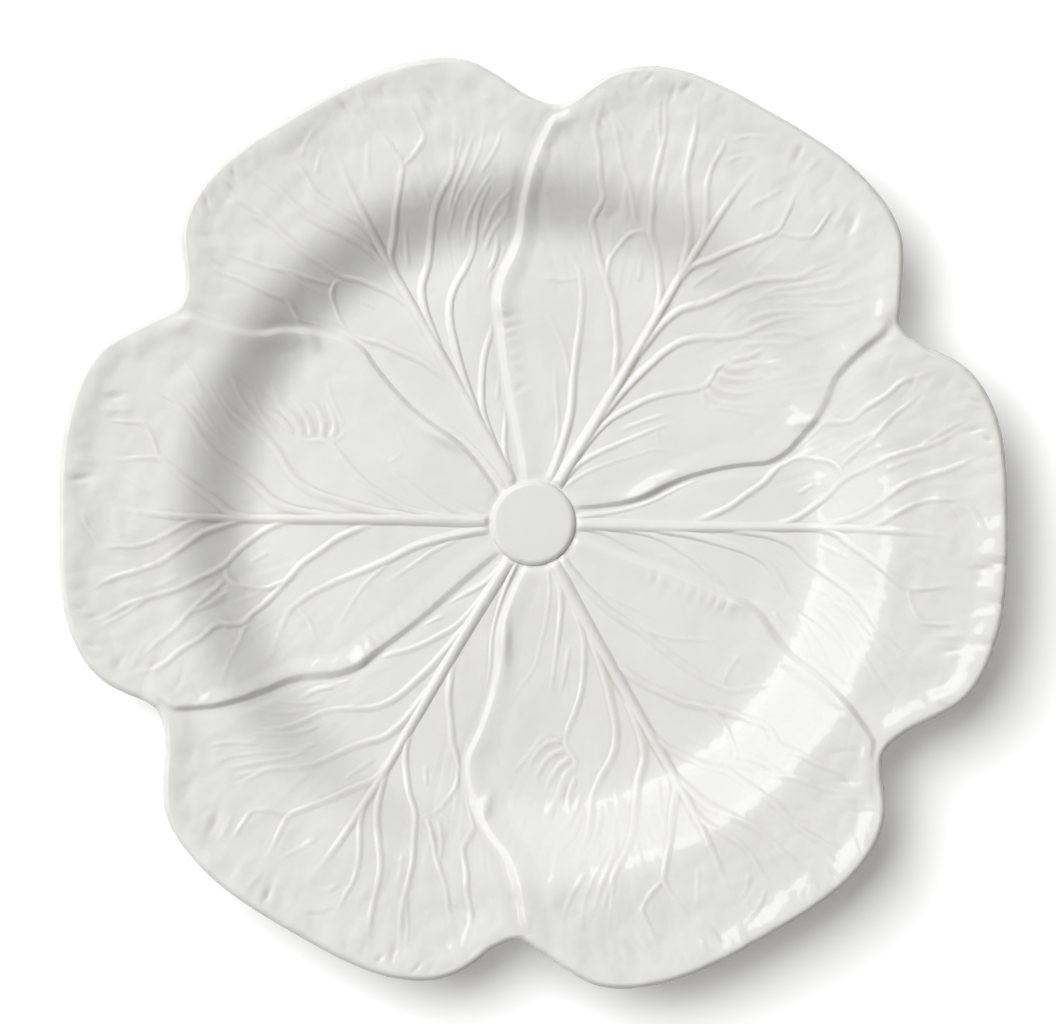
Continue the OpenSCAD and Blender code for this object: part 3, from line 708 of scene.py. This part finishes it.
relief_of, hollow_shade_of = {}, {}
for upper, plan in plans.items():
    flat = plan.grid.reshape(-1, 2)
    z, d_edge, at_seam = leaf_relief(upper, flat)
    relief_of[upper] = z, d_edge
    # the painted shade is weaker right at a seam, where the crease is thin
    seam_share = 0.35 + 0.65 * ease(at_seam / (2.5 * MM))
    shape = plan.grid.shape[:2]
    hollow_shade_of[upper] = hollows(z.reshape(shape)) * seam_share.reshape(shape)
    print("upper" if upper else "lower", "relief from", round(z.min() / MM, 2), "to",
          round(z.max() / MM, 2), "mm")


def leaf_heights(upper, degrees):
    """Top and underside heights of a leaf that is turned to its place."""
    plan = plans[upper]
    p = plan.grid.reshape(-1, 2)
    q = turned(p, degrees)
    r = np.linalg.norm(p, axis=1)
    relief, d_edge = relief_of[upper]
    up = curl(p, degrees, d_edge)
    top = top_z(r) + relief + unevenness(q) + up
    under = under_z(r) + up * 0.9
    shape = plan.grid.shape[:2]
    return q.reshape(*shape, 2), top.reshape(shape), under.reshape(shape)


# %% [markdown]
# A bmesh grid has even squares from -0.5 to 0.5. Each of its points is moved to its place on the
# leaf, and keeps its row and column as one number. The float attribute "hollow" goes with it, so
# that the glaze can be painted darker in the hollows, as painted shade.

# %% Top of a leaf
def lay_grid(bm, upper, xy, top):
    """The top of a leaf in a bmesh. Gives back the layer with the places of its points."""
    plan = plans[upper]
    rows, columns = plan.rows, plan.columns
    place = bm.verts.layers.int.new("place")
    # the attribute "hollow" is the mask for the painted shade in the hollows
    hollow = bm.verts.layers.float.new("hollow")
    bmesh.ops.create_grid(bm, x_segments=columns, y_segments=rows, size=0.5)
    for v in bm.verts:
        i, j = round((v.co.y + 0.5) * rows), round((v.co.x + 0.5) * columns)
        v.co = (xy[i, j, 0], xy[i, j, 1], top[i, j])
        v[place] = i * (columns + 1) + j
        v[hollow] = hollow_shade_of[upper][i, j]
    return place


print("a leaf's top has", (plans[True].rows + 1) * (plans[True].columns + 1), "points")

# %% [markdown]
# The grid is then extruded round its edge, ring by ring. At a seam the new rings go straight down.
# At the rim they go round a full soft edge to the underside, as a sponge leaves it before firing.
# A Bevel modifier would round the seams too, and open a gap between the leaves.

# %% Edge of a leaf
edge_steps = 7


def edge_rings(bm, place, plan, xy, top, under, degrees):
    """Rings of faces round the edge of a leaf. Gives back the lowest ring of edges."""
    columns = plan.columns
    ring = [e for e in bm.edges if e.is_boundary]
    outward = {v[place]: turned(plan.outward(*divmod(v[place], columns + 1)), degrees)
               for e in ring for v in e.verts}
    at_seam = {k for k, out in outward.items() if np.linalg.norm(out) < 0.5}

    def sharpen(edges):
        for e in edges:
            if any(v[place] in at_seam for v in e.verts):
                e.smooth = False

    sharpen(ring)
    for step in range(1, edge_steps + 1):
        new = bmesh.ops.extrude_edge_only(bm, edges=ring)["geom"]
        ring = [g for g in new if isinstance(g, bmesh.types.BMEdge)]
        t = step / edge_steps
        for v in (g for g in new if isinstance(g, bmesh.types.BMVert)):
            i, j = divmod(v[place], columns + 1)
            high, low = top[i, j], under[i, j]
            if v[place] in at_seam:
                v.co.z = high + (low - high) * t
                continue
            angle = np.pi / 2 - np.pi * t
            out = outward[v[place]] * edge_r * np.cos(angle)
            v.co = (xy[i, j, 0] + out[0], xy[i, j, 1] + out[1],
                    (high + low) / 2 + (high - low) / 2 * np.sin(angle))
    # the two upright corners at the notches are sharp
    corners = {seam_rows * (columns + 1), seam_rows * (columns + 1) + columns}
    for e in bm.edges:
        a, b = (v[place] for v in e.verts)
        if a == b and a in corners:
            e.smooth = False
    sharpen(ring)
    return ring


print("the edge goes round in", edge_steps, "steps with a radius of", edge_r / MM, "mm")

# %% [markdown]
# The underside is smooth, so a coarser grid closes it. bridge_loops joins it to the last ring.

# %% Underside and the whole leaf
under_every = 5
under_margin = 5


def close_underside(bm, ring, plan, xy, under):
    """The coarser grid of the underside, joined to the edge's last ring."""
    i0 = np.arange(under_margin, plan.rows - under_margin + 1, under_every)
    j0 = np.arange(under_margin, plan.columns - under_margin + 1, under_every)
    cells_i, cells_j = len(i0) - 1, len(j0) - 1
    grid = bmesh.ops.create_grid(bm, x_segments=cells_j, y_segments=cells_i, size=0.5)["verts"]
    for v in grid:
        i, j = i0[round((v.co.y + 0.5) * cells_i)], j0[round((v.co.x + 0.5) * cells_j)]
        v.co = (xy[i, j, 0], xy[i, j, 1], under[i, j])
    inner = {e for v in grid for e in v.link_edges if e.is_boundary}
    bmesh.ops.bridge_loops(bm, edges=ring + list(inner))
    bmesh.ops.recalc_face_normals(bm, faces=bm.faces)


def finish_mesh(name, bm):
    """A smooth-shaded object from a bmesh, at the origin."""
    for f in bm.faces:
        f.smooth = True
    open_edges = sum(not e.is_manifold for e in bm.edges)
    print(name, sum(len(f.verts) - 2 for f in bm.faces), "triangles,", open_edges, "open edges")
    mesh = bpy.data.meshes.new(name)
    bm.to_mesh(mesh)
    bm.free()
    piece = bpy.data.objects.new(name, mesh)
    bpy.context.scene.collection.objects.link(piece)
    return piece


def leaf_mesh(name, upper, degrees):
    """One whole leaf, turned to its place on the plate."""
    xy, top, under = leaf_heights(upper, degrees)
    bm = bmesh.new()
    place = lay_grid(bm, upper, xy, top)
    ring = edge_rings(bm, place, plans[upper], xy, top, under, degrees)
    close_underside(bm, ring, plans[upper], xy, under)
    return finish_mesh(name, bm)


# a leaf is drawn pointing along +Y, which is at 90 degrees
leaves = []
for layer, directions in (("upper", (60, 180, 300)), ("lower", (120, 240, 0))):
    for k, degrees in enumerate(directions):
        node = f"{layer}_leaf_{k + 1}"
        leaves.append((leaf_mesh(f"{node}_moulded", layer == "upper", degrees - 90), node))

# %% [markdown]
# The boss and the foot ring are turned shapes. A profile of a few points is spun round the axis,
# as a potter's template does.

# %% Helpers for turned pieces
def spun(profile, steps):
    """A closed mesh from a profile of (radius, height) places spun round the Z axis."""
    bm = bmesh.new()
    verts = [bm.verts.new((x, 0, z)) for x, z in profile]
    edges = [bm.edges.new(pair) for pair in zip(verts, verts[1:])]
    # a profile that doesn't end on the axis runs round to its first point
    if profile[-1][0] > 0:
        edges.append(bm.edges.new((verts[-1], verts[0])))
    bmesh.ops.spin(bm, geom=verts + edges, cent=(0, 0, 0), axis=(0, 0, 1), angle=2 * np.pi,
                   steps=steps, use_merge=True)
    bmesh.ops.remove_doubles(bm, verts=bm.verts, dist=1e-6)
    bmesh.ops.recalc_face_normals(bm, faces=bm.faces)
    return bm


print("turned pieces go from a radius of", round(boss_r / MM, 1), "to", round(foot_r / MM, 1), "mm")

# %% [markdown]
# The boss is the stump from which the leaves grow. A cylinder with a bevel would do, but the
# profile also gives it its slightly domed top, its soft edge under the glaze, and the plug that
# goes down through the body.

# %% Boss
boss_top = boss_high.z
boss_wide = boss_r + 0.45 * MM
dome_r, dome_h = 9.85 * MM, 0.1 * MM
edge_w, edge_h = 1.9 * MM, 1.8 * MM
# the edge reaches over the leaves' inner ends, and slopes in to the plug under their surface
slope_top, slope_low = floor_z - 1 * MM, floor_z - 1.5 * MM
arc = [(boss_wide - edge_w + edge_w * np.sin(a), boss_top - dome_h - edge_h + edge_h * np.cos(a))
       for a in np.linspace(0, np.pi / 2, 11)]
dome = [(x * MM, boss_top - dome_h * (x * MM / dome_r) ** 2) for x in (2, 4, 6, 8, 9)]
plug = [(boss_wide, slope_top), (boss_r, slope_low), (boss_r, foot_h), (boss_r * 0.5, foot_h),
        (0, foot_h)]
boss_profile = [(0, boss_top)] + dome + arc + plug
boss = finish_mesh("centre_boss_pressed", spun(boss_profile, 192))

# %% [markdown]
# The foot ring is what the plate stands on. Its two lower edges are rounded, as the potter wipes
# them with a sponge.

# %% Foot ring
foot_w, foot_round = 5.5 * MM, 1.5 * MM
round_out = [(foot_r - foot_round + foot_round * np.sin(a), foot_round - foot_round * np.cos(a))
             for a in np.linspace(0, np.pi / 2, 7)]
inner_r = foot_r - foot_w
round_in = [(inner_r + foot_round - foot_round * np.sin(a), foot_round - foot_round * np.cos(a))
            for a in np.linspace(np.pi / 2, 0, 7)]
foot_profile = round_in + round_out + [(foot_r, foot_h), (inner_r, foot_h)]
foot = finish_mesh("foot_ring_turned", spun(foot_profile, 256))

# %% [markdown]
# All finishes start from the Principled shader. These helpers add one node each, and join it to
# what comes before it. All noise is laid on Object coordinates, so it stays on the clay when a
# piece is moved.

# %% Helpers for materials
def material(name, color, roughness):
    """A material with its nodes, its links and its Principled shader."""
    m = bpy.data.materials.new(name)
    m.use_nodes = True
    nodes, links = m.node_tree.nodes, m.node_tree.links
    shader = nodes["Principled BSDF"]
    shader.inputs["Base Color"].default_value = (*color, 1)
    shader.inputs["Roughness"].default_value = roughness
    return m, nodes, links, shader


def add_noise(nodes, links, scale, detail, coords):
    """A noise texture on Object coordinates. A scale of 100 makes blots about 10 mm wide."""
    tex = nodes.new("ShaderNodeTexNoise")
    tex.inputs["Scale"].default_value = scale
    tex.inputs["Detail"].default_value = detail
    links.new(coords.outputs["Object"], tex.inputs["Vector"])
    return tex.outputs["Fac"]


def add_math(nodes, links, operation, *terms):
    """A Math node. Each term is a number or another node's output."""
    node = nodes.new("ShaderNodeMath")
    node.operation = operation
    for socket, term in zip(node.inputs, terms):
        if isinstance(term, float):
            socket.default_value = term
        else:
            links.new(term, socket)
    return node.outputs[0]


def add_ramp(nodes, links, value, low, high, start=0.0, end=1.0):
    """A colour from low to high, as the value goes from start to end."""
    ramp = nodes.new("ShaderNodeValToRGB")
    first, last = ramp.color_ramp.elements
    first.position, last.position = start, end
    first.color, last.color = (*low, 1), (*high, 1)
    links.new(value, ramp.inputs["Fac"])
    return ramp.outputs["Color"]


def add_mix(nodes, links, factor, a, b):
    """A mix of two colours. Each is a plain colour or another node's output."""
    mix = nodes.new("ShaderNodeMix")
    mix.data_type = "RGBA"
    links.new(factor, mix.inputs["Factor"])
    for socket, color in ((mix.inputs["A"], a), (mix.inputs["B"], b)):
        if isinstance(color, tuple):
            socket.default_value = (*color, 1)
        else:
            links.new(color, socket)
    return mix.outputs["Result"]


def add_bump(nodes, links, height, strength, distance, shader):
    """Waves or grains too fine for the mesh, which only turn the light."""
    bump = nodes.new("ShaderNodeBump")
    bump.inputs["Strength"].default_value = strength
    bump.inputs["Distance"].default_value = distance
    links.new(height, bump.inputs["Height"])
    links.new(bump.outputs["Normal"], shader.inputs["Normal"])


clay_low, clay_high = (0.800, 0.797, 0.765), (0.835, 0.832, 0.804)
print("under the glaze the clay's colour goes from", clay_low, "to", clay_high)

# %% [markdown]
# The clear glaze is smooth as glass over a warm white clay. Its surface waves a little, which
# makes the edges of a reflection waver. Beside the ribs and in the creases the colour is painted
# darker brown: painted shade in these hollows, where the glaze also lies thicker. A second glass
# shell would be heavy to render, so one glossy surface with a tinted colour stands for both
# clay and glaze.

# %% Glaze
def glaze_material():
    m, nodes, links, shader = material("clear_glaze_with_painted_hollow_shade", color=(0.82, 0.82, 0.79),
                                       roughness=0.025)
    shader.inputs["IOR"].default_value = 1.5
    coords = nodes.new("ShaderNodeTexCoord")
    clay = add_ramp(nodes, links, add_noise(nodes, links, 38, 3, coords), clay_low, clay_high,
                    0.35, 0.68)
    # painted shade: the colour is mixed towards brown where the hollow mask is high, in creases and
    # beside ribs
    deep = nodes.new("ShaderNodeAttribute")
    deep.attribute_name = "hollow"
    patches = add_noise(nodes, links, 60, 2, coords)
    painted_hollow_shade = add_math(nodes, links, "MULTIPLY", deep.outputs["Fac"], patches)
    painted_shade_brown = (0.50, 0.45, 0.35)
    links.new(add_mix(nodes, links, painted_hollow_shade, clay, painted_shade_brown), shader.inputs["Base Color"])
    waves = add_noise(nodes, links, 200, 2, coords)
    add_bump(nodes, links, waves, strength=0.32, distance=0.6 * MM, shader=shader)
    return m


glaze = glaze_material()
print("finish:", glaze.name)

# %% [markdown]
# The foot ring is glazed on its sides. Where it stands in the kiln the glaze is wiped off, and the
# bare clay is cream, matt and grainy. The border of the wiped band wavers, because it is wiped by
# hand. One material holds both, mixed by the height above the table.

# %% Foot with its bare band
def foot_material():
    m, nodes, links, shader = material("foot_glazed_sides_bare_band", color=(0.82, 0.81, 0.78),
                                       roughness=0.08)
    coords = nodes.new("ShaderNodeTexCoord")
    split = nodes.new("ShaderNodeSeparateXYZ")
    links.new(coords.outputs["Object"], split.inputs["Vector"])
    waver = add_noise(nodes, links, 120, 2, coords)
    height = add_math(nodes, links, "MULTIPLY_ADD", waver, 1.1 * MM, split.outputs["Z"])
    # 1 on the bare band, 0 on the glaze, with a soft border 0.3 mm wide
    bare = nodes.new("ShaderNodeMapRange")
    bare.inputs["From Min"].default_value = 1.4 * MM
    bare.inputs["From Max"].default_value = 1.1 * MM
    links.new(height, bare.inputs["Value"])
    bare = bare.outputs["Result"]
    grain = add_noise(nodes, links, 900, 5, coords)
    cream = add_ramp(nodes, links, grain, (0.60, 0.55, 0.46), (0.72, 0.68, 0.60))
    white = add_ramp(nodes, links, add_noise(nodes, links, 38, 3, coords), clay_low, clay_high)
    links.new(add_mix(nodes, links, bare, white, cream), shader.inputs["Base Color"])
    roughness = nodes.new("ShaderNodeMapRange")
    roughness.inputs["To Min"].default_value = 0.08
    roughness.inputs["To Max"].default_value = 0.85
    links.new(bare, roughness.inputs["Value"])
    links.new(roughness.outputs["Result"], shader.inputs["Roughness"])
    grains = add_math(nodes, links, "MULTIPLY", grain, bare)
    add_bump(nodes, links, grains, strength=0.3, distance=0.3 * MM, shader=shader)
    return m


foot_finish = foot_material()
print("finish:", foot_finish.name)

# %% [markdown]
# Every piece rides on the one body, takes the place of its own CAD solid, and says which finish
# it wears.

# %% Tie the pieces to the frame
for piece, node in leaves + [(boss, "centre_boss")]:
    piece.data.materials.append(glaze)
    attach(piece, "root")
    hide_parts(node)
foot.data.materials.append(foot_finish)
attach(foot, "root")
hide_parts("foot_ring")
print(len(leaves) + 2, "pieces tied to the frame")

# %% [markdown]
# The floor is white paper. Where the camera sees it, it glows a little, so that it comes out white
# and still takes the plate's shadow. Stronger lamps would make it white too, but they would burn
# out the plate. From below it is clear, so that the foot ring can be seen.

# %% White floor
floor_drop = 0.02 * MM
floor_glow = 0.27
bm = bmesh.new()
bmesh.ops.create_grid(bm, x_segments=1, y_segments=1, size=6)
for v in bm.verts:
    v.co.z = -floor_drop
floor = finish_mesh("floor", bm)
paper, nodes, links, shader = material("white_floor", color=(0.80, 0.80, 0.80), roughness=0.9)
shader.inputs["Specular IOR Level"].default_value = 0
path = nodes.new("ShaderNodeLightPath")
# seen by the camera, in a mirror image or through glass
seen = add_math(nodes, links, "MAXIMUM", path.outputs["Is Camera Ray"],
                path.outputs["Is Glossy Ray"])
seen = add_math(nodes, links, "MAXIMUM", seen, path.outputs["Is Transmission Ray"])
white = add_mix(nodes, links, seen, (0.72, 0.72, 0.72), (1, 1, 1))
links.new(white, shader.inputs["Base Color"])
glow = add_math(nodes, links, "MULTIPLY", seen, floor_glow)
shader.inputs["Emission Color"].default_value = (1, 1, 1, 1)
links.new(glow, shader.inputs["Emission Strength"])
side = nodes.new("ShaderNodeNewGeometry")
clear = nodes.new("ShaderNodeBsdfTransparent")
both = nodes.new("ShaderNodeMixShader")
links.new(side.outputs["Backfacing"], both.inputs["Fac"])
links.new(shader.outputs["BSDF"], both.inputs[1])
links.new(clear.outputs["BSDF"], both.inputs[2])
links.new(both.outputs["Shader"], nodes["Material Output"].inputs["Surface"])
floor.data.materials.append(paper)
print("the floor lies", round(floor_drop / MM, 2), "mm under the foot ring")

# %% [markdown]
# The photograph was taken under one large softbox at the upper left. The glaze mirrors it as a
# bright band with crisp edges. It is brightest at its top and fades downwards, so it is made of
# three strips that only the glaze sees. A smaller lamp before it, which the glaze doesn't see,
# lights the clay. Splitting them lets the band and the shadow be set one by one.

# %% Softbox and key lamp
def softbox(name, azimuth, elevation, distance, size, radiance, color):
    """A rectangular lamp that faces the plate, with its brightness given per area."""
    lamp = bpy.data.lights.new(name, "AREA")
    lamp.shape = "RECTANGLE"
    lamp.size, lamp.size_y = size
    lamp.energy = radiance * np.pi * size[0] * size[1]
    lamp.color = color
    a, e = np.radians(azimuth), np.radians(elevation)
    away = Vector((np.cos(e) * np.cos(a), np.cos(e) * np.sin(a), np.sin(e)))
    holder = bpy.data.objects.new(name, lamp)
    holder.location = away * distance
    holder.rotation_euler = away.to_track_quat("Z", "Y").to_euler()
    bpy.context.scene.collection.objects.link(holder)
    return holder


# elevation in degrees, height in metres and brightness of each strip
strips = [(57, 0.88, 2.7), (40, 0.685, 1.1), (26, 0.59, 0.25)]
strip_width, strip_color = 2.44, (0.87, 0.89, 1)
lamp_azimuth, lamp_distance = 141, 2.6
for elevation, height, radiance in strips:
    mirrored = softbox(f"softbox_{elevation}", lamp_azimuth, elevation, lamp_distance,
                       (strip_width, height), radiance, strip_color)
    mirrored.visible_diffuse = False
key = softbox("key_lamp", lamp_azimuth, elevation=57.5, distance=lamp_distance, size=(2.2, 2.2),
              radiance=6.0, color=(0.99, 0.995, 1))
key.visible_glossy = False
print(len(strips), "strips and a key lamp")

# %% [markdown]
# The room round the plate is dim and warm. It fills the shadows a little. Behind the floor the
# camera sees plain white.

# %% Room
world = bpy.data.worlds.new("room")
bpy.context.scene.world = world
world.use_nodes = True
nodes, links = world.node_tree.nodes, world.node_tree.links
back = nodes["Background"]
back.inputs["Color"].default_value = (1, 0.87, 0.66, 1)
back.inputs["Strength"].default_value = 0.035
behind = nodes.new("ShaderNodeBackground")
behind.inputs["Color"].default_value = (1, 1, 1, 1)
path = nodes.new("ShaderNodeLightPath")
either = nodes.new("ShaderNodeMixShader")
links.new(path.outputs["Is Camera Ray"], either.inputs["Fac"])
links.new(back.outputs[0], either.inputs[1])
links.new(behind.outputs[0], either.inputs[2])
links.new(either.outputs[0], nodes["World Output"].inputs["Surface"])
print("room light", round(back.inputs["Strength"].default_value, 3))

# %% [markdown]
# The camera hangs straight above the plate, far enough for the rim to show little perspective.
# Its lens is worked out from the width that it has to see at the height of the rim.

# %% Camera
camera = bpy.data.objects.new("camera", bpy.data.cameras.new("camera"))
camera.location = (-1.4 * MM, 3.1 * MM, 1.6)
view_width = 297.5 * MM
camera.data.sensor_width = 36
rim_height = 20 * MM
camera.data.lens = camera.data.sensor_width * (camera.location.z - rim_height) / view_width
camera.data.clip_end = 20
bpy.context.scene.collection.objects.link(camera)
bpy.context.scene.camera = camera
bpy.context.scene.view_settings.view_transform = "Standard"
print("lens", round(camera.data.lens, 1), "mm")
